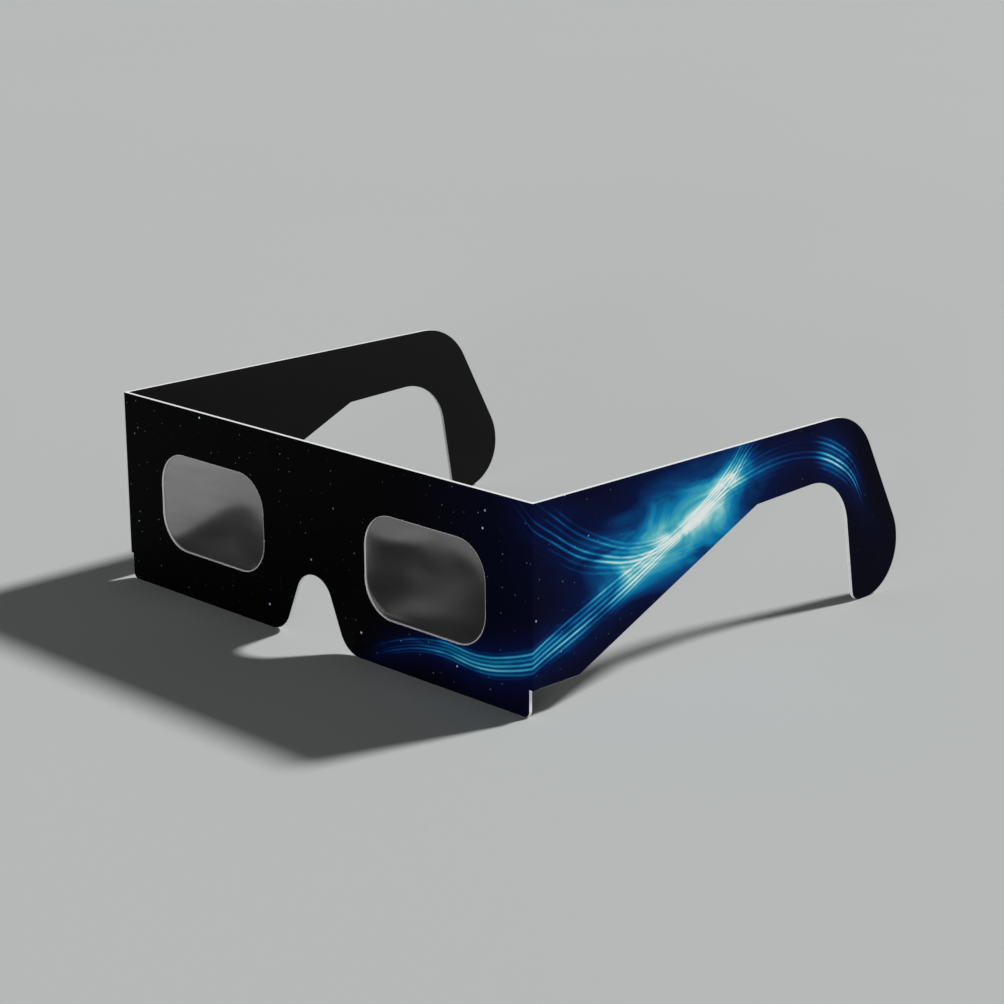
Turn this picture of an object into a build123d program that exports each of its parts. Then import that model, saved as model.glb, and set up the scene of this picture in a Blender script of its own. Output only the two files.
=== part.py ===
from build123d import *
import os
from math import radians, sin, tan

os.makedirs("parts", exist_ok=True)

# Paper eclipse glasses: two plies of card, glued together over a film filter for each eye and
# creased at both ends of the front, so that the temples fold. Sizes are in millimetres and
# degrees. X runs across the front, Y from the front to the ear hooks and Z up. The origin is
# under the middle of the glasses as they stand open on a table.

# Driving dimensions
overall_width = 140.0          # over the two folds
overall_height = 47.4          # of the front, and of the temples from top edge to hook
overall_depth = 127.0          # from the printed face of the front to the back of the hooks

# Layers of the board, counted from the printed outside
outer_card_thickness = 0.35
filter_thickness = 0.1         # the glue around the films is as thick as they are
inner_card_thickness = 0.35
board_thickness = outer_card_thickness + filter_thickness + inner_card_thickness

# Front panel
tab_height = 6.45              # of the corner below each temple's root
tab_corner_radius = 1.6
tab_setback = 0.2              # of each tab's end from the fold's inside corner
bridge_width = 35.3            # of card between the two eye openings
eye_side_margin = 13.15        # of card between each opening and the end of the tab
eye_top_margin = 11.9
eye_bottom_margin = 11.6
eye_corner_radius = 8.5
eye_corner_limit_share = 0.45  # of the opening's height or width, past which no corner is rounded
nose_width = 21.8              # where the straight flanks would meet the bottom edge
nose_height = 16.2
nose_lean = 22.8               # of each flank from the vertical
nose_foot_radius = 7.1
film_border = 4.0              # of each film past its opening, all round

# Temple, with lengths along it counted from the printed face of the front
root_length = 14.3             # of the level edge that follows the fold
root_corner_radius = 2.5
bar_length = 31.9              # of its underside, between the slanting edge and the hook
bar_front_height = 15.2
bar_rear_height = 14.0         # where the bar would meet the hook's front edge
bar_corner_radius = 1.5
hook_lean = 9.7                # of the hook's front edge from the vertical
hook_back_lean = 28.2          # of its back edge
hook_toe_radius = 3.1
hook_foot_flat = 2.1           # between the toe and the heel
hook_heel_radius = 11.8
hook_back_flat = 0.3           # of the upright stretch above the heel
hook_bend_radius = 14.0        # where the back edge turns down
ear_radius = 14.1              # between the bar and the hook, over the ear
crown_radius = 16.9            # between the top edge and the back edge

# Crease, the scored strip that bends at each end of the front
crease_reach = 0.5             # of the strip from the fold's inside corner, along each panel
crease_corner_radius = 0.25    # along the outside of each fold
crease_bead_radius = 0.27      # of the ridge that the crease raises inside the fold

# Places that follow from the sizes above
right_angle = 90.0
front_y = -overall_depth / 2
pivot_x = overall_width / 2 - board_thickness
pivot_y = front_y + board_thickness
tab_side = pivot_x - tab_setback
eye_width = tab_side - eye_side_margin - bridge_width / 2
eye_height = overall_height - eye_top_margin - eye_bottom_margin
layer_starts = {
    "outer": 0.0,
    "core": outer_card_thickness,
    "inner": outer_card_thickness + filter_thickness,
}
layer_thicknesses = {
    "outer": outer_card_thickness,
    "core": filter_thickness,
    "inner": inner_card_thickness,
}


def run_of(rise, lean):
    """How far an edge that leans from the vertical moves sideways over a rise."""
    return rise * tan(radians(lean))


def reach_of(radius, turn):
    """How far from a corner its rounding begins, for an edge that turns by an angle there."""
    return radius * tan(radians(turn / 2))


def rounded_face(corners):
    """A face through corners given as (along, up, radius); a radius of zero stays sharp."""
    face = Polygon(*[(along, up) for along, up, radius in corners], align=None)
    for along, up, radius in corners:
        if radius > 0:
            corner = face.vertices().sort_by_distance((along, up, 0))[0]
            face = fillet(corner, radius)
    return face


def front_outline():
    """The front panel, with the nose notch cut up from its bottom edge and a tab at each side."""
    crease_side = pivot_x - crease_reach
    mouth = nose_width / 2
    notch_tip = mouth / tan(radians(nose_lean))
    bridge_radius = (notch_tip - nose_height) / (1 / sin(radians(nose_lean)) - 1)
    return rounded_face([
        (-crease_side, overall_height, 0),
        (-crease_side, tab_height, 0),
        (-tab_side, tab_height, 0),
        (-tab_side, 0, tab_corner_radius),
        (-mouth, 0, nose_foot_radius),
        (0, notch_tip, bridge_radius),
        (mouth, 0, nose_foot_radius),
        (tab_side, 0, tab_corner_radius),
        (tab_side, tab_height, 0),
        (crease_side, tab_height, 0),
        (crease_side, overall_height, 0),
    ])


def at_both_eyes(face):
    """A face on the middle line, copied to the middle of each eye opening."""
    across = (bridge_width + eye_width) / 2
    up = eye_bottom_margin + eye_height / 2
    return Pos(-across, up) * face + Pos(across, up) * face


def eye_openings():
    """The rounded openings that both plies have in front of and behind the films."""
    radius = min(eye_corner_radius, eye_corner_limit_share * min(eye_width, eye_height))
    return at_both_eyes(RectangleRounded(eye_width, eye_height, radius))


def film_blanks():
    """The square-cut pieces of filter film, wider than the openings by their border."""
    return at_both_eyes(Rectangle(eye_width + 2 * film_border, eye_height + 2 * film_border))


def temple_outline():
    """A temple from the crease to the ear hook, drawn with the top edge level."""
    top = overall_height
    start = board_thickness + crease_reach
    back = overall_depth
    toe_reach = reach_of(hook_toe_radius, right_angle - hook_lean)
    toe = back - hook_heel_radius - hook_foot_flat - toe_reach
    bend_reach = reach_of(hook_bend_radius, hook_back_lean)
    bend_height = hook_heel_radius + hook_back_flat + bend_reach
    crown = back - run_of(top - bend_height, hook_back_lean)
    ear_height = top - bar_rear_height
    ear = toe - run_of(ear_height, hook_lean)
    return rounded_face([
        (start, tab_height, 0),
        (root_length, tab_height, root_corner_radius),
        (ear - bar_length, top - bar_front_height, bar_corner_radius),
        (ear, ear_height, ear_radius),
        (toe, 0, hook_toe_radius),
        (back, 0, hook_heel_radius),
        (back, bend_height, hook_bend_radius),
        (crown, top, crown_radius),
        (start, top, 0),
    ])


def front_layer(face, layer):
    """A face of the front panel, given the thickness of its layer, behind the printed face."""
    plane = Plane(origin=(0, front_y + layer_starts[layer], 0), x_dir=(1, 0, 0), z_dir=(0, -1, 0))
    return extrude(plane * face, -layer_thicknesses[layer])


def temple_layer(face, layer):
    """A face of the right temple, given the thickness of its layer, inwards from outside."""
    outside = overall_width / 2 - layer_starts[layer]
    plane = Plane(origin=(outside, front_y, 0), x_dir=(0, 1, 0), z_dir=(1, 0, 0))
    return extrude(plane * face, -layer_thicknesses[layer])


def crease_corner(depth):
    """A square that fills the corner of the right fold, from a depth under its outside."""
    size = board_thickness + crease_reach - depth
    centre = Pos(pivot_x - crease_reach + size / 2, pivot_y + crease_reach - size / 2)
    return centre * Rectangle(size, size)


def crease_section(layer):
    """The cross-section of one ply where it turns the corner of the right fold."""
    start = layer_starts[layer]
    return crease_corner(start) - crease_corner(start + layer_thicknesses[layer])


def crease_solid(section):
    """A cross-section of the right crease, raised over the height of the temple's root."""
    return extrude(Pos(0, 0, tab_height) * section, overall_height - tab_height)


def outer_crease():
    """The printed ply around the fold, with its outside corner just broken."""
    section = crease_section("outer")
    tip = section.vertices().sort_by_distance((overall_width / 2, front_y, 0))[0]
    return crease_solid(fillet(tip, crease_corner_radius))


def inner_crease():
    """The inner ply in the fold, with the bead that the crease raises on its inside."""
    bead = Pos(pivot_x, pivot_y) * Circle(crease_bead_radius)
    return crease_solid(crease_section("inner") + bead)


def write_node(name, solid):
    export_step(solid, f"parts/{name}.step")


def write_front():
    panel = front_outline()
    card = panel - eye_openings()
    write_node("front_outer_card", front_layer(card, "outer"))
    write_node("front_inner_card", front_layer(card, "inner"))
    write_node("front_glue", front_layer(panel - film_blanks(), "core"))
    left_film, right_film = film_blanks().faces().sort_by(Axis.X)
    write_node("left_filter_film", front_layer(left_film, "core"))
    write_node("right_filter_film", front_layer(right_film, "core"))


def write_sides():
    """Both temples and both folds, the left ones as mirror images of the right ones."""
    outline = temple_outline()
    right_nodes = {
        "temple_outer_card": temple_layer(outline, "outer"),
        "temple_inner_card": temple_layer(outline, "inner"),
        "temple_glue": temple_layer(outline, "core"),
        "fold_outer_card": outer_crease(),
        "fold_inner_card": inner_crease(),
    }
    for name, solid in right_nodes.items():
        write_node(f"right_{name}", solid)
        write_node(f"left_{name}", mirror(solid, about=Plane.YZ))


write_front()
write_sides()
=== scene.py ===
# %% [markdown]
# # Paper eclipse glasses
# The real thing is two plies of card, glued together round a piece of mirrored film for each
# eye, die-cut in one stroke and creased at both ends of the front. The card parts come from
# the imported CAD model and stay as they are; they only need their print and their raw edges.
# Two things are better built here as meshes of their own: the films, which are never quite
# flat, and the creases, which have to bend when a temple is folded.

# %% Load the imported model
import math

import bpy
from mathutils import Matrix, Vector


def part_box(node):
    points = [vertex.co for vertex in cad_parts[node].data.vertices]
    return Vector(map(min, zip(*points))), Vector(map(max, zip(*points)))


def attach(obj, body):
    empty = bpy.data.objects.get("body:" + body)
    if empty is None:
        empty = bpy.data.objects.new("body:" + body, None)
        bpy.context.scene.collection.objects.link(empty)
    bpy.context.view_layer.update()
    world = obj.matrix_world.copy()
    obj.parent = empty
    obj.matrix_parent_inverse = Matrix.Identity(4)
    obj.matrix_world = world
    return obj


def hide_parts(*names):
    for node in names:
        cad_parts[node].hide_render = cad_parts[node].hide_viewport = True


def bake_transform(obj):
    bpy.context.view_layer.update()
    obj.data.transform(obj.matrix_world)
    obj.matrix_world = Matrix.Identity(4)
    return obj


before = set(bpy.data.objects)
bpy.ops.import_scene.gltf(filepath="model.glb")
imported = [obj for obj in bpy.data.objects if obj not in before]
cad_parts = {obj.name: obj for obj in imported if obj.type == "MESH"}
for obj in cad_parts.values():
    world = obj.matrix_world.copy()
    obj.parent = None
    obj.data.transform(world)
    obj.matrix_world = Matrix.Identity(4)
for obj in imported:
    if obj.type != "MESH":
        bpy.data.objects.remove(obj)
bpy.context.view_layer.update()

# %% [markdown]
# ## Where the card lies
# The glasses stand on the floor with the front's printed face towards -Y, and each temple
# runs back along +Y from the fold at its end of the front. Every place below is taken from
# the CAD nodes, so that nothing has to be fitted by eye. Only the size of the eye openings is
# typed in: a film's box shows where an opening is, but not how large it is.

# %% Read the layers of the card
MM = 0.001
printed_low, printed_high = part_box("front_outer_card")
film_low, film_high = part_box("right_filter_film")
front_y, top_z = printed_low.y, printed_high.z
back_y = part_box("front_inner_card")[1].y
side_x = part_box("right_temple_outer_card")[1].x
pivot_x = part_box("right_temple_inner_card")[0].x
fold_foot_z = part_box("right_fold_outer_card")[0].z
eye_x, eye_z = (film_low.x + film_high.x) / 2, (film_low.z + film_high.z) / 2
opening_width, opening_height, opening_radius = 38.2 * MM, 23.9 * MM, 8.5 * MM
board = back_y - front_y
print(f"board {board / MM:.2f} mm thick, folds at x = {side_x / MM:.1f} mm")

# %% [markdown]
# ## Camera
# The photograph is taken from the front, to the right of the printed face and a little above
# the glasses, with a long lens. Its place in metres, its turn in degrees and its lens were
# worked out from the corners of the card.

# %% Place the camera
camera_data = bpy.data.cameras.new("camera")
camera_data.sensor_width = 36.0
camera_data.lens = 87.13
camera = bpy.data.objects.new("camera", camera_data)
bpy.context.scene.collection.objects.link(camera)
camera.location = (0.404975, -0.405593, 0.186502)
turn, dip, roll = (math.radians(angle) for angle in (45.155, 16.151, -0.186))
camera.rotation_euler = (
    Matrix.Rotation(turn, 3, "Z")
    @ Matrix.Rotation(math.radians(90.0) - dip, 3, "X")
    @ Matrix.Rotation(roll, 3, "Z")
).to_euler()
bpy.context.scene.camera = camera
bpy.context.scene.view_settings.view_transform = "Standard"
print("camera lens", camera_data.lens, "mm")

# %% [markdown]
# ## Two small helpers
# A maker reads colours off a chart as sRGB hex, but the shader works in linear light, so one
# function converts them. The other adds a shader node with its settings and its inputs in
# one go, and hands back the output that the next node needs.

# %% Colour and node helpers
def linear(hex_colour):
    """An sRGB hex colour as linear red, green, blue and alpha."""
    channels = [int(hex_colour[i:i + 2], 16) / 255 for i in (1, 3, 5)]
    light = [c / 12.92 if c <= 0.04045 else ((c + 0.055) / 1.055) ** 2.4 for c in channels]
    return (*light, 1.0)


def add_node(tree, kind, settings, inputs, output=0):
    """A new shader node: settings by name, inputs by name or number, as a value or a socket."""
    node = tree.nodes.new("ShaderNode" + kind)
    for name, value in settings.items():
        setattr(node, name, value)
    for key, value in inputs.items():
        if isinstance(value, bpy.types.NodeSocket):
            tree.links.new(value, node.inputs[key])
        else:
            node.inputs[key].default_value = value
    return node.outputs[output]


def new_material(name):
    """An empty node material and its output node."""
    material = bpy.data.materials.new(name)
    material.use_nodes = True
    material.node_tree.nodes.clear()
    return material, material.node_tree.nodes.new("ShaderNodeOutputMaterial")


print("white is", linear("#ffffff"))

# %% [markdown]
# ## Floor and light
# A plain pale grey floor runs out of sight on all sides. It is a shade darker than white, so
# that the raw edges of the card stand out.

# %% Build the floor
floor_material, floor_output = new_material("painted_studio_floor")
floor_tree = floor_material.node_tree
floor_mottle = add_node(floor_tree, "TexNoise", {}, {
    "Vector": add_node(floor_tree, "TexCoord", {}, {}, "Object"), "Scale": 3.0, "Detail": 2.0})
floor_colour = add_node(floor_tree, "Mix", {"data_type": "RGBA"}, {
    "Factor": floor_mottle, 6: linear("#b3b6b5"), 7: linear("#b6b9b8")}, 2)
floor_shader = add_node(floor_tree, "BsdfPrincipled", {}, {
    "Base Color": floor_colour, "Roughness": 0.85, "Specular IOR Level": 0.2})
floor_tree.links.new(floor_shader, floor_output.inputs["Surface"])

FLOOR_REACH = 6.0
floor_mesh = bpy.data.meshes.new("floor")
floor_mesh.from_pydata(
    [(FLOOR_REACH * x, FLOOR_REACH * y, 0) for x, y in ((-1, -1), (1, -1), (1, 1), (-1, 1))],
    [], [(0, 1, 2, 3)])
floor = bpy.data.objects.new("floor", floor_mesh)
floor.data.materials.append(floor_material)
bpy.context.scene.collection.objects.link(floor)
print("floor", 2 * FLOOR_REACH, "m across")

# %% [markdown]
# The lamps are what a product photographer would set up: a soft box behind the glasses, high
# enough to whiten the cut top edges and throw the shadow forwards, and a wide low fill beside
# the camera for the printed faces. How wide a lamp looks sets how soft its shadow gets: with
# 7 degrees, the edge blurs by about an eighth of its distance from the card.

# %% Set the lamps
def add_far_lamp(name, towards, width, strength):
    """A round soft lamp, far off in a direction, that looks width degrees wide from here."""
    data = bpy.data.lights.new(name, "SUN")
    data.angle = math.radians(width)
    data.energy = strength
    lamp = bpy.data.objects.new(name, data)
    lamp.location = Vector(towards)
    lamp.rotation_euler = Vector(towards).to_track_quat("Z", "Y").to_euler()
    bpy.context.scene.collection.objects.link(lamp)
    return lamp


key = add_far_lamp("key_behind", towards=(0.21, 0.72, 0.66), width=7.0, strength=4.1)
fill = add_far_lamp(
    "fill_beside_camera", towards=(0.50, -0.85, 0.06), width=14.0, strength=1.7)
for lamp in (key, fill):
    print(lamp.name, lamp.data.energy)

# %% [markdown]
# The surround does two things. It adds a little even light, so little that the shadow stays
# deep, and it is the plain pale backdrop that the camera and a mirroring surface see.

# %% Set the surround
world = bpy.data.worlds.new("surround")
world.use_nodes = True
world.node_tree.nodes.clear()
world_tree = world.node_tree
paths = add_node(world_tree, "LightPath", {}, {}).node
seen = add_node(world_tree, "Math", {"operation": "MAXIMUM"}, {
    0: paths.outputs["Is Camera Ray"], 1: paths.outputs["Is Transmission Ray"]})
seen = add_node(world_tree, "Math", {"operation": "MAXIMUM"}, {
    0: seen, 1: paths.outputs["Is Glossy Ray"]})
even_light = add_node(world_tree, "Background", {}, {
    "Color": linear("#ffffff"), "Strength": 0.09})
backdrop = add_node(world_tree, "Background", {}, {
    "Color": linear("#b4b7b6"), "Strength": 1.0})
surround = add_node(world_tree, "MixShader", {}, {0: seen, 1: even_light, 2: backdrop})
world_output = world_tree.nodes.new("ShaderNodeOutputWorld")
world_tree.links.new(surround, world_output.inputs["Surface"])
bpy.context.scene.world = world
print("surround set")

# %% [markdown]
# ## The print: one flat sheet round three panels
# A printer sees the glasses as one flat strip: the front in the middle and a temple at each
# end. If the artwork is worked out in that strip's own millimetres it runs over the folds
# without a step. `along` counts from the middle of the front, past 70 mm at each fold, and
# `up` counts from the floor. The whole print is a node group, so that every card material
# draws from the same sheet.

# %% Start the print's node group
sheet = bpy.data.node_groups.new("night_sky_print", "ShaderNodeTree")
sheet.interface.new_socket("Sheet Place", in_out="INPUT", socket_type="NodeSocketVector")
sheet.interface.new_socket("Colour", in_out="OUTPUT", socket_type="NodeSocketColor")
sheet_in = sheet.nodes.new("NodeGroupInput")
sheet_out = sheet.nodes.new("NodeGroupOutput")
sheet_place = sheet_in.outputs["Sheet Place"]
split = add_node(sheet, "SeparateXYZ", {}, {0: sheet_place}).node
along, up = split.outputs["X"], split.outputs["Y"]
mirrored = add_node(sheet, "Math", {"operation": "ABSOLUTE"}, {0: along})
print("print group started")

# %% [markdown]
# A line of light in the artwork is easiest to draw as a real curve through points, as with a
# bent strip of wood. This helper draws any quantity that changes along the strip.

# %% Helper for a quantity drawn along the strip
STRIP_REACH = 200.0


def drawn_curve(points, low, high):
    """A value that follows points (along in mm, value) over the mirrored strip."""
    position = add_node(sheet, "Math", {"operation": "DIVIDE"}, {0: mirrored, 1: STRIP_REACH})
    curve = add_node(sheet, "FloatCurve", {}, {"Value": position})
    mapping = curve.node.mapping
    drawn = mapping.curves[0].points
    while len(drawn) > 2:
        drawn.remove(drawn[1])
    scaled = [(a / STRIP_REACH, (value - low) / (high - low)) for a, value in points]
    drawn[0].location, drawn[1].location = scaled[0], scaled[-1]
    for place in scaled[1:-1]:
        drawn.new(*place)
    mapping.update()
    return add_node(sheet, "MapRange", {"clamp": False}, {
        "Value": curve, "To Min": low, "To Max": high})


print("strip drawn to", STRIP_REACH, "mm each way")

# %% [markdown]
# ## Bundles of light
# Each bundle is a sheaf of hair-fine lines that flow side by side along a drawn path. Where
# the sheaf narrows the lines run together and turn white. The distance of a point from its
# nearest line gives the line, and the distance from the path gives the blue haze. Both fall
# off as a bell curve does.

# %% Describe the bundles, in mm on the strip
bundles = [
    {   # from the top of the fold, down across the temple and out along the ear hook
        "path": [(0, 62), (50, 58), (62, 50), (74, 41), (90, 32), (106, 29), (120, 33),
                 (136, 39.5), (158, 41.5), (174, 36), (184, 24), (200, 4)],
        "half_width": [(0, 9), (60, 8), (82, 6), (102, 3.4), (118, 2.3), (132, 3.2),
                       (150, 4.4), (172, 4.4), (186, 5.5), (200, 7)],
        "light": [(0, 0), (48, 0), (66, 0.3), (88, 0.7), (112, 1.0), (130, 0.9), (144, 0.24),
                  (160, 0.2), (172, 1.0), (181, 0.55), (189, 0.06), (200, 0)],
        "lines": 7, "line_width": 0.3, "seed": 3.0,
    },
    {   # from under the right eye, up over the fold and away over the top edge
        "path": [(0, -8), (14, -1), (28, 6), (42, 9), (54, 8.5), (64, 10.5), (76, 15), (92, 21),
                 (108, 27.5), (120, 33), (132, 40), (144, 50), (200, 60)],
        "half_width": [(0, 2.6), (28, 2.2), (48, 2.6), (66, 3.2), (88, 4.0), (108, 2.8),
                       (120, 2.2), (134, 4.0), (200, 9)],
        "light": [(0, 0), (10, 0), (24, 0.5), (46, 0.95), (66, 1.0), (92, 0.95),
                  (114, 1.0), (130, 0.9), (142, 0.4), (156, 0), (200, 0)],
        "lines": 6, "line_width": 0.3, "seed": 11.0,
    },
]
FAINTEST_LINE = 0.25
LINE_LIGHT = 0.55
FADE_START, FADE_END = 0.35, 1.15     # as shares of the sheaf's half width
HAZE_LIGHT = 0.22
HAZE_MARGIN = 2.4
print(sum(bundle["lines"] for bundle in bundles), "lines in", len(bundles), "bundles")

# %% [markdown]
# Every line gets its own strength by chance, and the sheaf fades towards its outer lines. The
# light of each bundle, line and haze, rises and falls along the strip.

# %% Draw the bundles
def bell(value):
    """1 where a value is 0, and less to both sides of it."""
    square = add_node(sheet, "Math", {"operation": "MULTIPLY"}, {0: value, 1: value})
    fall = add_node(sheet, "Math", {"operation": "MULTIPLY"}, {0: square, 1: -1.0})
    return add_node(sheet, "Math", {"operation": "EXPONENT"}, {0: fall})


level = None
for bundle in bundles:
    path = drawn_curve(bundle["path"], -20.0, 80.0)
    half_width = drawn_curve(bundle["half_width"], 0.0, 10.0)
    light = drawn_curve(bundle["light"], 0.0, 1.0)
    offset = add_node(sheet, "Math", {"operation": "SUBTRACT"}, {0: up, 1: path})
    share = add_node(sheet, "Math", {"operation": "DIVIDE"}, {0: offset, 1: half_width})
    count = add_node(sheet, "Math", {"operation": "MULTIPLY"}, {
        0: share, 1: bundle["lines"] / 2})
    nearest = add_node(sheet, "Math", {"operation": "ROUND"}, {0: count})
    gap = add_node(sheet, "Math", {"operation": "SUBTRACT"}, {0: count, 1: nearest})
    spacing = add_node(sheet, "Math", {"operation": "DIVIDE"}, {
        0: half_width, 1: bundle["lines"] / 2 * bundle["line_width"]})
    gap = add_node(sheet, "Math", {"operation": "MULTIPLY"}, {0: gap, 1: spacing})
    seeded = add_node(sheet, "Math", {"operation": "ADD"}, {0: nearest, 1: bundle["seed"]})
    strength = add_node(sheet, "TexWhiteNoise", {"noise_dimensions": "1D"}, {"W": seeded})
    strength = add_node(sheet, "MapRange", {}, {
        "Value": strength, "To Min": FAINTEST_LINE, "To Max": 1.0})
    line = add_node(sheet, "Math", {"operation": "MULTIPLY"}, {0: bell(gap), 1: strength})
    off_path = add_node(sheet, "Math", {"operation": "ABSOLUTE"}, {0: share})
    fade = add_node(sheet, "MapRange", {"interpolation_type": "SMOOTHSTEP"}, {
        "Value": off_path, "From Min": FADE_END, "From Max": FADE_START,
        "To Min": 0.0, "To Max": LINE_LIGHT})
    line = add_node(sheet, "Math", {"operation": "MULTIPLY"}, {0: line, 1: fade})
    broad = add_node(sheet, "Math", {"operation": "ADD"}, {0: half_width, 1: HAZE_MARGIN})
    haze = add_node(sheet, "Math", {"operation": "DIVIDE"}, {0: offset, 1: broad})
    haze = add_node(sheet, "Math", {"operation": "MULTIPLY"}, {0: bell(haze), 1: HAZE_LIGHT})
    both = add_node(sheet, "Math", {"operation": "ADD"}, {0: line, 1: haze})
    both = add_node(sheet, "Math", {"operation": "MULTIPLY"}, {0: both, 1: light})
    level = both if level is None else add_node(sheet, "Math", {"operation": "ADD"}, {
        0: level, 1: both})
print("bundles of light drawn")

# %% [markdown]
# ## Glow, drift and darkness
# Round the place where the bundles meet the sky itself glows. A slow noise breaks the haze
# into drifts, as thin cloud would. The front's left half is plain night, and the left temple
# keeps four fifths of the light.

# %% Add the glow and the drifts
glow_middle = (120.0, 33.0)
glow_size = (23.0, 12.0)
glow_light = 0.6
drifts_per_mm = (0.045, 0.11, 1.0)
left_light = 0.8
away = add_node(sheet, "VectorMath", {"operation": "SUBTRACT"}, {
    0: add_node(sheet, "CombineXYZ", {}, {"X": mirrored, "Y": up}), 1: (*glow_middle, 0.0)})
away = add_node(sheet, "VectorMath", {"operation": "DIVIDE"}, {0: away, 1: (*glow_size, 1.0)})
away = add_node(sheet, "VectorMath", {"operation": "DOT_PRODUCT"}, {0: away, 1: away}, "Value")
away = add_node(sheet, "Math", {"operation": "MULTIPLY"}, {0: away, 1: -1.0})
glow = add_node(sheet, "Math", {"operation": "EXPONENT"}, {0: away})
glow = add_node(sheet, "Math", {"operation": "MULTIPLY"}, {0: glow, 1: glow_light})
level = add_node(sheet, "Math", {"operation": "ADD"}, {0: level, 1: glow})

drift_place = add_node(sheet, "VectorMath", {"operation": "MULTIPLY"}, {
    0: sheet_place, 1: drifts_per_mm})
drift = add_node(sheet, "TexNoise", {"noise_dimensions": "2D"}, {
    "Vector": drift_place, "Scale": 1.0, "Detail": 5.0, "Roughness": 0.55, "Distortion": 0.6})
drift = add_node(sheet, "MapRange", {}, {
    "Value": drift, "From Min": 0.3, "From Max": 0.72, "To Min": 0.55, "To Max": 1.25})
level = add_node(sheet, "Math", {"operation": "MULTIPLY"}, {0: level, 1: drift})
left_side = add_node(sheet, "MapRange", {"interpolation_type": "SMOOTHSTEP"}, {
    "Value": along, "From Min": -96.0, "From Max": -68.0, "To Min": left_light, "To Max": 0.0})
right_side = add_node(sheet, "MapRange", {"interpolation_type": "SMOOTHSTEP"}, {
    "Value": along, "From Min": -2.0, "From Max": 8.0, "To Min": 0.0, "To Max": 1.0})
side = add_node(sheet, "Math", {"operation": "ADD"}, {0: left_side, 1: right_side})
level = add_node(sheet, "Math", {"operation": "MULTIPLY"}, {0: level, 1: side})
print("glow at", glow_middle, "mm on the strip")

# %% [markdown]
# The right side never gets quite black. A faint blue begins beside the nose, grows as far as
# the temple and goes down again towards the ear.

# %% Add the dusk
dusk = add_node(sheet, "MapRange", {"interpolation_type": "SMOOTHSTEP"}, {
    "Value": along, "From Min": 20.0, "From Max": 84.0, "To Min": 0.0, "To Max": 0.07})
nightfall = add_node(sheet, "MapRange", {"interpolation_type": "SMOOTHSTEP"}, {
    "Value": along, "From Min": 158.0, "From Max": 188.0, "To Min": 1.0, "To Max": 0.35})
dusk = add_node(sheet, "Math", {"operation": "MULTIPLY"}, {0: dusk, 1: nightfall})
level = add_node(sheet, "Math", {"operation": "ADD"}, {0: level, 1: dusk})
print("dusk over the right side")

# %% [markdown]
# The inks: near-black, navy, blue, cyan and paper white. A colour ramp turns the light level
# into ink, so that haze is navy, lines are cyan and only the crossing goes white.

# %% Turn light into ink
inks = [(0.0, "#020203"), (0.1, "#070a26"), (0.2, "#061440"), (0.34, "#07427c"),
        (0.5, "#0d86b8"), (0.66, "#4fb7c6"), (0.84, "#b5e4e4"), (1.0, "#f2f8f6")]
ink = add_node(sheet, "ValToRGB", {}, {"Fac": level})
stops = ink.node.color_ramp.elements
stops.remove(stops[1])
for index, (position, colour) in enumerate(inks):
    stop = stops[0] if index == 0 else stops.new(position)
    stop.position = position
    stop.color = linear(colour)
print(len(inks), "inks")

# %% [markdown]
# ## Stars
# Printed stars are dots of bare paper. A Voronoi pattern puts one point in each cell and
# gives it a random colour; its red sets how wide the dot is, its green how bright, and nearly
# half of the cells stay empty. A dot fades towards its rim, so the radii below look about half
# as wide, 0.1 to 0.2 mm, as in the photograph. There are no stars where the print is bright,
# and few towards the ears.

# %% Scatter the stars
star_kinds = (
    {"cell": 8.0, "radius": 0.4, "brightness": 1.7},
    {"cell": 3.6, "radius": 0.21, "brightness": 0.7},
)
EMPTY_SHARE = 0.45
star_light = None
for kind in star_kinds:
    scaled = add_node(sheet, "VectorMath", {"operation": "SCALE"}, {
        0: sheet_place, "Scale": 1.0 / kind["cell"]})
    cells = add_node(sheet, "TexVoronoi", {"voronoi_dimensions": "2D"}, {
        "Vector": scaled, "Scale": 1.0}).node
    number = add_node(sheet, "SeparateColor", {}, {"Color": cells.outputs["Color"]}).node
    size = add_node(sheet, "MapRange", {}, {
        "Value": number.outputs["Red"], "From Min": EMPTY_SHARE, "From Max": 1.0,
        "To Min": 0.0, "To Max": kind["radius"] / kind["cell"]})
    dot = add_node(sheet, "MapRange", {"interpolation_type": "SMOOTHSTEP"}, {
        "Value": cells.outputs["Distance"], "From Min": size, "From Max": 0.0,
        "To Min": 0.0, "To Max": kind["brightness"]})
    dot = add_node(sheet, "Math", {"operation": "MULTIPLY"}, {
        0: dot, 1: number.outputs["Green"]})
    star_light = dot if star_light is None else add_node(sheet, "Math", {
        "operation": "MAXIMUM"}, {0: star_light, 1: dot})
room = add_node(sheet, "MapRange", {}, {
    "Value": level, "From Min": 0.3, "From Max": 0.6, "To Min": 1.0, "To Max": 0.0})
star_light = add_node(sheet, "Math", {"operation": "MULTIPLY"}, {0: star_light, 1: room})
thinning = add_node(sheet, "MapRange", {}, {
    "Value": mirrored, "From Min": 62.0, "From Max": 110.0, "To Min": 1.0, "To Max": 0.15})
star_light = add_node(sheet, "Math", {"operation": "MULTIPLY"}, {0: star_light, 1: thinning})
sky = add_node(sheet, "Mix", {"data_type": "RGBA"}, {
    "Factor": star_light, 6: ink, 7: linear("#d6e4ff")}, 2)
sheet.links.new(sky, sheet_out.inputs["Colour"])
print(len(star_kinds), "kinds of stars scattered")

# %% [markdown]
# ## Printed card
# Solid bleached board, litho-printed and sealed with a matt varnish, then die-cut. Three
# things tell the eye what it is: the deep matt black of the print, which hardly mirrors the
# studio, the faint tooth of the coating, and the raw white core at every cut edge. The cut
# edge is wherever the surface doesn't face along the thickness of the board.

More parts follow.
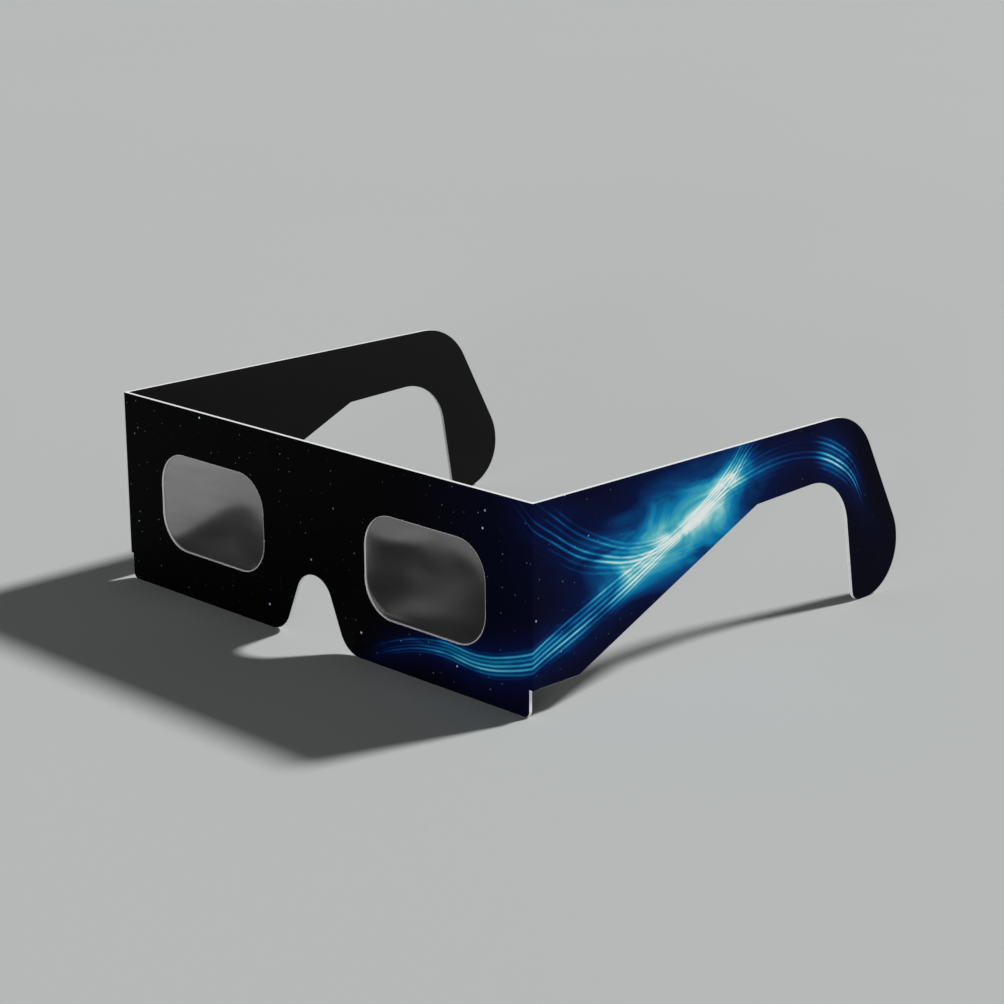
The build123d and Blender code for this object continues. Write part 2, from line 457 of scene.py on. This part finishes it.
# %% Helpers for the card
RAW_BOARD_AND_HIGHLIGHT = "#f6f6f8"
FRAY = 0.08 * MM
# Widths of the painted highlight round the eye openings, and how far round them it reaches.
PAINTED_HIGHLIGHT_LOW, PAINTED_HIGHLIGHT_HIGH = 0.5 * MM, 0.22 * MM
PAINTED_HIGHLIGHT_SURROUND = 1.0 * MM
FOLD_CLEARANCE = 2.0 * MM


def cut_edge_mask(tree, through):
    """1 on a panel's faces and 0 on its cut edges; through is the axis of its thickness."""
    normal = add_node(tree, "TexCoord", {}, {}, "Normal")
    parts = add_node(tree, "SeparateXYZ", {}, {0: normal}).node
    facing = add_node(tree, "Math", {"operation": "ABSOLUTE"}, {0: parts.outputs[through]})
    test = "LESS_THAN" if through == "Z" else "GREATER_THAN"
    return add_node(tree, "Math", {"operation": test}, {0: facing, 1: 0.5})


def raw_board_colour(tree, place):
    """Bare pulp at a cut edge: off-white, with fine bundles of fibres."""
    fibre_length = 0.15 * MM
    fibres = add_node(tree, "TexNoise", {}, {
        "Vector": place, "Scale": 1.0 / fibre_length, "Detail": 3.0})
    return add_node(tree, "Mix", {"data_type": "RGBA"}, {
        "Factor": fibres, 6: linear("#ebebee"), 7: linear(RAW_BOARD_AND_HIGHLIGHT)}, 2)


def varnish_tooth(tree, place, grain, strength):
    """The fine unevenness of a coated sheet, as a bump; grain is its size in mm."""
    tooth = add_node(tree, "TexNoise", {}, {
        "Vector": place, "Scale": 1.0 / (grain * MM), "Detail": 4.0, "Roughness": 0.6})
    return add_node(tree, "Bump", {}, {
        "Height": tooth, "Strength": strength, "Distance": 0.02 * MM})


def near_an_eye(tree, place):
    """1 round each eye opening and 0 elsewhere."""
    parts = add_node(tree, "SeparateXYZ", {}, {0: place}).node
    across = add_node(tree, "Math", {"operation": "ABSOLUTE"}, {0: parts.outputs["X"]})
    inside = None
    for position, middle, size in ((across, eye_x, opening_width),
                                   (parts.outputs["Z"], eye_z, opening_height)):
        off = add_node(tree, "Math", {"operation": "SUBTRACT"}, {0: position, 1: middle})
        off = add_node(tree, "Math", {"operation": "ABSOLUTE"}, {0: off})
        close = add_node(tree, "Math", {"operation": "LESS_THAN"}, {
            0: off, 1: size / 2 + PAINTED_HIGHLIGHT_SURROUND})
        inside = close if inside is None else add_node(tree, "Math", {
            "operation": "MULTIPLY"}, {0: inside, 1: close})
    return inside


def fray_and_painted_rim_highlight(tree, place, unrolled):
    """A hairline of bare fibres beside each cut edge, with a lip round each eye opening.

    The lip is bare fibre widened into a painted highlight for the light caught by the opening's
    rim, widest along its lower edge.
    Near an edge the bevelled normal leaves the flat one, and that is what draws the border.
    """
    # Painted highlight: round each eye opening the white border widens, most along the lower
    # edge, in place of light caught by the rims.
    painted_rim_highlight = near_an_eye(tree, place)
    height = add_node(tree, "SeparateXYZ", {}, {0: place}).node.outputs["Z"]
    painted_highlight_radius = add_node(tree, "MapRange", {"interpolation_type": "SMOOTHSTEP"}, {
        "Value": height, "From Min": eye_z - 0.42 * opening_height, "From Max": eye_z,
        "To Min": PAINTED_HIGHLIGHT_LOW, "To Max": PAINTED_HIGHLIGHT_HIGH})
    radius = add_node(tree, "MapRange", {}, {
        "Value": painted_rim_highlight, "To Min": FRAY, "To Max": painted_highlight_radius})
    amount = add_node(tree, "MapRange", {}, {"Value": painted_rim_highlight, "To Min": 0.5, "To Max": 1.0})
    rounded = add_node(tree, "Bevel", {"samples": 4}, {"Radius": radius})
    flat = add_node(tree, "NewGeometry", {}, {}, "True Normal")
    agree = add_node(tree, "VectorMath", {"operation": "DOT_PRODUCT"}, {
        0: rounded, 1: flat}, "Value")
    near = add_node(tree, "MapRange", {"interpolation_type": "SMOOTHSTEP"}, {
        "Value": agree, "From Min": 0.998, "From Max": 0.98, "To Min": 0.0, "To Max": amount})
    from_fold = add_node(tree, "Math", {"operation": "ABSOLUTE"}, {0: unrolled})
    from_fold = add_node(tree, "Math", {"operation": "SUBTRACT"}, {0: from_fold, 1: side_x})
    from_fold = add_node(tree, "Math", {"operation": "ABSOLUTE"}, {0: from_fold})
    clear = add_node(tree, "Math", {"operation": "GREATER_THAN"}, {
        0: from_fold, 1: FOLD_CLEARANCE})
    return add_node(tree, "Math", {"operation": "MULTIPLY"}, {0: near, 1: clear})


def place_on_card(tree, from_attribute):
    """Where a point lies on the open glasses; a bent crease carries it as an attribute."""
    if from_attribute:
        return add_node(tree, "Attribute", {"attribute_name": "open_place"}, {}, "Vector")
    return add_node(tree, "TexCoord", {}, {}, "Object")


print("raw board", RAW_BOARD_AND_HIGHLIGHT)

# %% [markdown]
# Each finish is made three times, because the cut edge shows on other faces: the front is
# thick along Y, a temple along X, and a crease strip shows its cut edges at top and bottom.

# %% Make the card materials
def make_printed_board(name, through, from_attribute=False):
    """Board with the print; the strip's own millimetres follow the card round the fold."""
    material, output = new_material(name)
    tree = material.node_tree
    place = place_on_card(tree, from_attribute)
    parts = add_node(tree, "SeparateXYZ", {}, {0: place}).node
    behind = add_node(tree, "Math", {"operation": "SUBTRACT"}, {
        0: parts.outputs["Y"], 1: front_y})
    handed = add_node(tree, "Math", {"operation": "SIGN"}, {0: parts.outputs["X"]})
    unrolled = add_node(tree, "Math", {"operation": "MULTIPLY_ADD"}, {
        0: behind, 1: handed, 2: parts.outputs["X"]})
    sheet_mm = add_node(tree, "CombineXYZ", {}, {"X": unrolled, "Y": parts.outputs["Z"]})
    sheet_mm = add_node(tree, "VectorMath", {"operation": "SCALE"}, {
        0: sheet_mm, "Scale": 1.0 / MM})
    printed = add_node(tree, "Group", {"node_tree": sheet}, {"Sheet Place": sheet_mm})
    # The white border is bare fibre at every cut edge, and painted highlight round the eyes.
    printed = add_node(tree, "Mix", {"data_type": "RGBA"}, {
        "Factor": fray_and_painted_rim_highlight(tree, place, unrolled), 6: printed, 7: linear(RAW_BOARD_AND_HIGHLIGHT)}, 2)
    colour = add_node(tree, "Mix", {"data_type": "RGBA"}, {
        "Factor": cut_edge_mask(tree, through), 6: raw_board_colour(tree, place),
        7: printed}, 2)
    shader = add_node(tree, "BsdfPrincipled", {}, {
        "Base Color": colour, "Roughness": 0.5, "Specular IOR Level": 0.02, "IOR": 1.5,
        "Normal": varnish_tooth(tree, place, grain=0.5, strength=0.12)})
    tree.links.new(shader, output.inputs["Surface"])
    return material


def make_black_board(name, through, from_attribute=False):
    """Board printed plain black, with faint clouds of thicker and thinner ink."""
    material, output = new_material(name)
    tree = material.node_tree
    place = place_on_card(tree, from_attribute)
    clouding = add_node(tree, "TexNoise", {}, {
        "Vector": place, "Scale": 1.0 / (6.0 * MM), "Detail": 6.0, "Roughness": 0.7})
    black = add_node(tree, "Mix", {"data_type": "RGBA"}, {
        "Factor": clouding, 6: linear("#0b0b0b"), 7: linear("#0f0f0f")}, 2)
    colour = add_node(tree, "Mix", {"data_type": "RGBA"}, {
        "Factor": cut_edge_mask(tree, through), 6: raw_board_colour(tree, place), 7: black}, 2)
    shader = add_node(tree, "BsdfPrincipled", {}, {
        "Base Color": colour, "Roughness": 0.6, "Specular IOR Level": 0.1, "IOR": 1.5,
        "Normal": varnish_tooth(tree, place, grain=0.35, strength=0.25)})
    tree.links.new(shader, output.inputs["Surface"])
    return material


printed_front = make_printed_board("litho_printed_board_front", "Y")
printed_temple = make_printed_board("litho_printed_board_temple", "X")
printed_crease = make_printed_board("litho_printed_board_crease", "Z", True)
black_front = make_black_board("black_printed_board_front", "Y")
black_temple = make_black_board("black_printed_board_temple", "X")
black_crease = make_black_board("black_printed_board_crease", "Z", True)
print("card materials made")

# %% [markdown]
# The glue is a white dispersion glue, rolled on and dried clear-grey between the plies. Only
# its edge shows, as a hairline between the two white cut edges.

# %% Make the glue material
glue_material, glue_output = new_material("dried_dispersion_glue")
glue_tree = glue_material.node_tree
glue_place = add_node(glue_tree, "TexCoord", {}, {}, "Object")
glue_drops = add_node(glue_tree, "TexNoise", {}, {
    "Vector": glue_place, "Scale": 1.0 / (1.2 * MM), "Detail": 2.0})
glue_colour = add_node(glue_tree, "Mix", {"data_type": "RGBA"}, {
    "Factor": glue_drops, 6: linear("#b9b7b0"), 7: linear("#d2d0ca")}, 2)
glue_shader = add_node(glue_tree, "BsdfPrincipled", {}, {
    "Base Color": glue_colour, "Roughness": 0.45, "IOR": 1.47})
glue_tree.links.new(glue_shader, glue_output.inputs["Surface"])
print(glue_material.name)

# %% [markdown]
# ## Filter film
# Polyester film with a vacuum-deposited metal layer. It mirrors, but dimly and a little
# blurred, and what it mirrors here is the floor before the glasses, lit above and in their
# own shadow below. The metal lies unevenly, which shows as faint streaks that rise a little to
# the right. On top of that, painted shade darkens the film's colour towards the lower right of
# the left film and by two fifths over the whole right film, to deepen the mirrored shadow: the
# left film mirrors brightest at its upper outer corner. The right one is a little sharper.

# %% Make the film material
streak_pitch, streak_stretch, streak_rise = 5.0 * MM, 4.0, math.radians(11.0)
# Painted shade: the film's colour is darkened towards the lower right of the left film and over
# the whole right film, to deepen the mirrored shadow.
painted_shade_slope = (1.0 / (60.0 * MM), 0.0, -1.0 / (24.0 * MM))
painted_shade_start, painted_shade_end = -2.4, -1.1
BRIGHTEST, DIMMEST = 1.02, 0.61
blur_change_reach = 15.0 * MM
LEFT_BLUR, RIGHT_BLUR, BLUR_DRIFT = 0.16, 0.12, 0.03
film_material, film_output = new_material("metallised_polyester_film")
film_tree = film_material.node_tree
film_place = add_node(film_tree, "TexCoord", {}, {}, "Object")
film_streaks = add_node(film_tree, "Mapping", {"vector_type": "TEXTURE"}, {
    "Vector": film_place, "Rotation": (0.0, -streak_rise, 0.0),
    "Scale": (streak_stretch, 1.0, 1.0)})
film_drift = add_node(film_tree, "TexNoise", {}, {
    "Vector": film_streaks, "Scale": 1.0 / streak_pitch, "Detail": 3.0})
film_colour = add_node(film_tree, "Mix", {"data_type": "RGBA"}, {
    "Factor": film_drift, 6: linear("#918e8f"), 7: linear("#c1bebf")}, 2)
painted_shade_place = add_node(film_tree, "VectorMath", {"operation": "DOT_PRODUCT"}, {
    0: film_place, 1: painted_shade_slope}, "Value")
painted_reflection_shade = add_node(film_tree, "MapRange", {"interpolation_type": "SMOOTHSTEP"}, {
    "Value": painted_shade_place, "From Min": painted_shade_start, "From Max": painted_shade_end,
    "To Min": BRIGHTEST, "To Max": DIMMEST})
# The streaks are the metal's own unevenness; the factor they are multiplied by is painted
# shade.
film_streaks_and_painted_shade = add_node(film_tree, "Mix", {"data_type": "RGBA", "blend_type": "MULTIPLY"}, {
    "Factor": 1.0, 6: film_colour, 7: painted_reflection_shade}, 2)
film_across = add_node(film_tree, "SeparateXYZ", {}, {0: film_place}, "X")
film_blur = add_node(film_tree, "MapRange", {}, {
    "Value": film_across, "From Min": -blur_change_reach, "From Max": blur_change_reach,
    "To Min": LEFT_BLUR, "To Max": RIGHT_BLUR})
film_roughness = add_node(film_tree, "Math", {"operation": "MULTIPLY_ADD"}, {
    0: film_drift, 1: BLUR_DRIFT, 2: film_blur})
film_shader = add_node(film_tree, "BsdfPrincipled", {}, {
    "Base Color": film_streaks_and_painted_shade, "Metallic": 1.0, "Roughness": film_roughness})
film_tree.links.new(film_shader, film_output.inputs["Surface"])
print(film_material.name)

# %% [markdown]
# ## The films as gently bowed sheets
# Film is glued to the card only round the opening, so inside it bows like a slack drumskin,
# and the mirror image of the floor bends with it. A flat plate can't show that, and a bump
# would bend the light but not the surface. So each film is a fine grid of points, held flat
# between the plies and moved by a sum of standing waves: half a wave, a whole one and so on,
# across and up the opening, each of them zero at its border. One table gives the height of
# each wave, a row for the count of half waves across and a column for the count upwards.

# %% Describe the bows
hold_width = 0.6 * MM
film_waves_mm = {
    "left": [(-0.190, 0.139, -0.009, 0.011, 0.007), (-0.113, -0.181, -0.002, 0.002, 0.005),
             (0.018, -0.018, -0.053, 0.000, 0.005), (0.020, -0.024, -0.023, -0.024, -0.003)],
    "right": [(0.546, 0.143, -0.057, 0.033, -0.017), (-0.097, 0.146, -0.021, 0.028, -0.008),
              (-0.024, 0.081, -0.018, 0.023, -0.002), (-0.046, 0.024, 0.007, -0.002, 0.007)],
}


def inside_opening(x, z):
    """How far a point is inside the rounded opening, from its middle; negative outside."""
    qx = abs(x) - opening_width / 2 + opening_radius
    qz = abs(z) - opening_height / 2 + opening_radius
    outside = math.hypot(max(qx, 0.0), max(qz, 0.0))
    return opening_radius - outside - min(max(qx, qz), 0.0)


def film_bow(x, z, waves_mm):
    """How far the film stands off its flat plane, towards the wearer."""
    held = min(max(inside_opening(x, z) / hold_width, 0.0), 1.0)
    across = math.pi * (x / opening_width + 0.5)
    upwards = math.pi * (z / opening_height + 0.5)
    total = sum(height * math.sin(m * across) * math.sin(n * upwards)
                for m, row in enumerate(waves_mm, 1) for n, height in enumerate(row, 1))
    return held * held * (3.0 - 2.0 * held) * total * MM


print({hand: len(rows) * len(rows[0]) for hand, rows in film_waves_mm.items()}, "waves")

# %% [markdown]
# A film is two such grids, its front and its back, closed round the rim. The points stand
# about half a millimetre apart, close enough for a smooth mirror image.

# %% Build the films
GRID_STEP = 0.55 * MM
for side_name, waves_mm in film_waves_mm.items():
    low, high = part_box(f"{side_name}_filter_film")
    middle = (low + high) / 2
    columns = round((high.x - low.x) / GRID_STEP)
    rows = round((high.z - low.z) / GRID_STEP)
    points, faces = [], []
    for surface_y in (low.y, high.y):
        for row in range(rows + 1):
            for column in range(columns + 1):
                x = low.x + (high.x - low.x) * column / columns
                z = low.z + (high.z - low.z) * row / rows
                bow = film_bow(x - middle.x, z - middle.z, waves_mm)
                points.append((x, surface_y + bow, z))
    width = columns + 1
    back = width * (rows + 1)
    for row in range(rows):
        for column in range(columns):
            a = row * width + column
            b, c, d = a + 1, a + 1 + width, a + width
            faces.append((a, b, c, d))
            faces.append((back + d, back + c, back + b, back + a))
    rim = ([(c, c + 1) for c in range(columns)]
           + [(columns + r * width, columns + (r + 1) * width) for r in range(rows)]
           + [(rows * width + c + 1, rows * width + c) for c in range(columns)]
           + [((r + 1) * width, r * width) for r in range(rows)])
    faces += [(b, a, back + a, back + b) for a, b in rim]
    mesh = bpy.data.meshes.new(f"{side_name}_film")
    mesh.from_pydata(points, [], faces)
    mesh.shade_smooth()
    film = bpy.data.objects.new(f"{side_name}_mirrored_film", mesh)
    film.data.materials.append(film_material)
    bpy.context.scene.collection.objects.link(film)
    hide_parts(f"{side_name}_filter_film")
    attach(film, "front")
    print(film.name, len(points), "points")

# %% [markdown]
# ## The creases
# At each end of the front a blunt rule has pressed a groove into the card, so that it turns
# the corner sharply. The printed ply runs round the outside with a crisp corner, and the
# inner ply swells into a small bead. On the real glasses this strip is all that bends when a
# temple folds, turning about the bead; here it is built open. Each ply's strip is a mesh with
# extra points round the corner, and the two plies meet half way through the board.

# %% Describe the section of each strip
strip_reach = 0.5 * MM
corner_radius = 0.25 * MM
bead_radius = 0.27 * MM
hidden_radius = 0.05 * MM
half_board = board / 2
ARC_STEPS = 8
LEG_SHARES = (1.0, 0.82, 0.66, 0.52, 0.4, 0.3, 0.21)


def corner_path(depth, radius):
    """Points of an L round the right fold at a depth under the print, from front to temple."""
    corner_x, corner_y = side_x - depth, front_y + depth
    leg = board + strip_reach - depth
    first = [(corner_x - leg * share, corner_y) for share in LEG_SHARES]
    turns = []
    for step in range(ARC_STEPS + 1):
        angle = math.radians(-90.0 + 90.0 * step / ARC_STEPS)
        turns.append((corner_x - radius + radius * math.cos(angle),
                      corner_y + radius + radius * math.sin(angle)))
    last = [(corner_x, corner_y + leg * share) for share in reversed(LEG_SHARES)]
    return first + turns + last


def bead_path():
    """The inner ply's inside, with the bead standing off the corner."""
    pivot_y = front_y + board
    flat_reach = strip_reach - bead_radius
    first = [(pivot_x - strip_reach + flat_reach * share, pivot_y) for share in (0.0, 0.4, 0.8)]
    steps = len(outer_path) - 1 - 2 * len(first)
    turns = []
    for step in range(steps + 1):
        angle = math.radians(180.0 - 90.0 * step / steps)
        turns.append((pivot_x + bead_radius * math.cos(angle),
                      pivot_y + bead_radius * math.sin(angle)))
    last = [(pivot_x, pivot_y + bead_radius + flat_reach * share) for share in (0.2, 0.6, 1.0)]
    return first + turns + last


outer_path = corner_path(0.0, corner_radius)
middle_path = corner_path(half_board, hidden_radius)
inner_path = bead_path()
print(len(outer_path), len(middle_path), len(inner_path), "points round the corner")

# %% [markdown]
# A strip is its section, a closed loop of points, repeated from the foot of the fold to its
# top. Each point also keeps its place on the open glasses as an attribute, from which the
# print is drawn. The left strips mirror the right ones.

# %% Build the strips
LEVELS = 24
for hand, sign in (("left", -1.0), ("right", 1.0)):
    strips = (
        ("printed", outer_path, middle_path, printed_crease, "printed_card", "outer"),
        ("black", middle_path, inner_path, black_crease, "black_card", "inner"),
    )
    for finish, outside, inside, material, slot_name, ply in strips:
        loop = outside + inside[::-1]
        around = len(loop)
        points, faces = [], []
        for level_index in range(LEVELS + 1):
            z = fold_foot_z + (top_z - fold_foot_z) * level_index / LEVELS
            points += [(sign * x, y, z) for x, y in loop]
        for level_index in range(LEVELS):
            for k in range(around):
                a = level_index * around + k
                b = level_index * around + (k + 1) % around
                faces.append((a, b, b + around, a + around))
        half = len(outside)
        for base, flip in ((0, True), (LEVELS * around, False)):
            for k in range(half - 1):
                quad = (base + k, base + k + 1, base + around - 2 - k, base + around - 1 - k)
                faces.append(quad[::-1] if flip else quad)
        if sign < 0:
            faces = [face[::-1] for face in faces]
        mesh = bpy.data.meshes.new(f"{hand}_{finish}_crease")
        mesh.from_pydata(points, [], faces)
        open_place = mesh.attributes.new("open_place", "FLOAT_VECTOR", "POINT")
        open_place.data.foreach_set("vector", [c for point in points for c in point])
        strip = bpy.data.objects.new(f"{hand}_{finish}_crease", mesh)
        strip.data.materials.append(material)
        bpy.context.scene.collection.objects.link(strip)
        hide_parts(f"{hand}_fold_{ply}_card")
        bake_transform(strip)
        print(strip.name, len(points), "points")

# %% [markdown]
# ## Dress the card parts
# The card parts keep their CAD shapes, because a die-cut sheet is exactly that: a flat
# outline with a thickness. Each one only swaps its plain finish for the real one.

# %% Give the CAD parts their materials
finishes = {
    "front_outer_card": printed_front, "front_inner_card": black_front,
    "front_glue": glue_material,
}
for hand in ("left", "right"):
    finishes[f"{hand}_temple_outer_card"] = printed_temple
    finishes[f"{hand}_temple_inner_card"] = black_temple
    finishes[f"{hand}_temple_glue"] = glue_material
for node_name, material in finishes.items():
    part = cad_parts[node_name]
    part.data.materials.clear()
    part.data.materials.append(material)
print(len(finishes), "card parts dressed")
